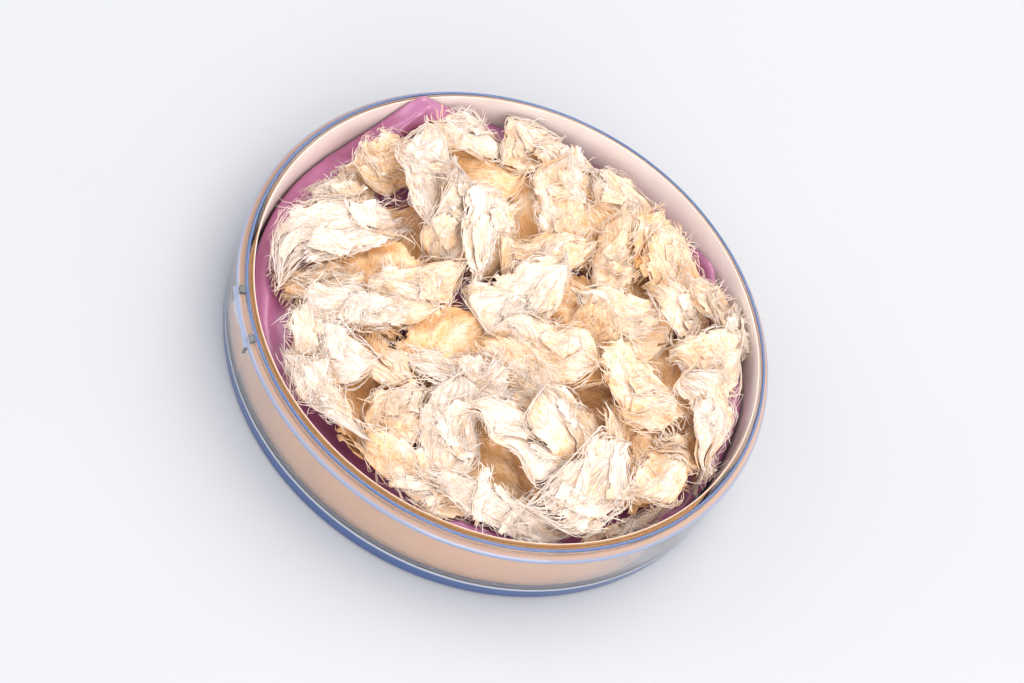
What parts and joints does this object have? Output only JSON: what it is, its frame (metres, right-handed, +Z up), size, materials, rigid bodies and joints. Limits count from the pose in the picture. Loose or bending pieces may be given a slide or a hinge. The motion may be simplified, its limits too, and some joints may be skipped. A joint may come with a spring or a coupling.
{
  "type": "boxed edible birds nest",
  "caption": "Round clear plastic display box with a card ring and a pink satin lining, filled with a heap of torn, fibrous shreds of edible bird's nest; stands flat on its foot ring.",
  "frame": {"origin": "middle of the box's underside, on the plane of its foot ring", "axes": "+Z up along the round box's axis; the picture looks in from the -Y side; the two small catches on the ledge lie towards -X and -Y"},
  "size_m": [0.16, 0.16, 0.0359],
  "materials": {
    "clear_plastic": "clear moulded polystyrene with a faint blue edge colour, polished",
    "card": "pale pinkish card, matt",
    "satin": "pink-mauve satin with a soft sheen",
    "nest": "dried nest cement in fused strands, cream outside and golden in the hollows, slightly translucent"
  },
  "bodies": {
    "root": {"clear_box": "clear_plastic", "card_ring": "card", "satin_lining": "satin", "nest_shred_01": "nest", "nest_shred_02": "nest", "nest_shred_03": "nest", "nest_shred_04": "nest", "nest_shred_05": "nest", "nest_shred_06": "nest", "nest_shred_07": "nest", "nest_shred_08": "nest", "nest_shred_09": "nest", "nest_shred_10": "nest", "nest_shred_11": "nest", "nest_shred_12": "nest", "nest_shred_13": "nest", "nest_shred_14": "nest", "nest_shred_15": "nest", "nest_shred_16": "nest", "nest_shred_17": "nest", "nest_shred_18": "nest", "nest_shred_19": "nest", "nest_shred_20": "nest", "nest_shred_21": "nest", "nest_shred_22": "nest", "nest_shred_23": "nest", "nest_shred_24": "nest", "nest_shred_25": "nest", "nest_shred_26": "nest", "nest_shred_27": "nest", "nest_shred_28": "nest", "nest_shred_29": "nest", "nest_shred_30": "nest", "nest_shred_31": "nest", "nest_shred_32": "nest", "nest_shred_33": "nest", "nest_shred_34": "nest", "nest_shred_35": "nest", "nest_shred_36": "nest", "nest_shred_37": "nest", "nest_shred_38": "nest", "nest_shred_39": "nest", "nest_shred_40": "nest", "nest_shred_41": "nest", "nest_shred_42": "nest", "nest_shred_43": "nest", "nest_shred_44": "nest", "nest_shred_45": "nest", "nest_shred_46": "nest", "nest_shred_47": "nest", "nest_shred_48": "nest", "nest_shred_49": "nest", "nest_shred_50": "nest", "nest_shred_51": "nest", "nest_shred_52": "nest", "nest_shred_53": "nest", "nest_shred_54": "nest", "nest_shred_55": "nest", "nest_shred_56": "nest", "nest_shred_57": "nest"}
  },
  "joints": []
}
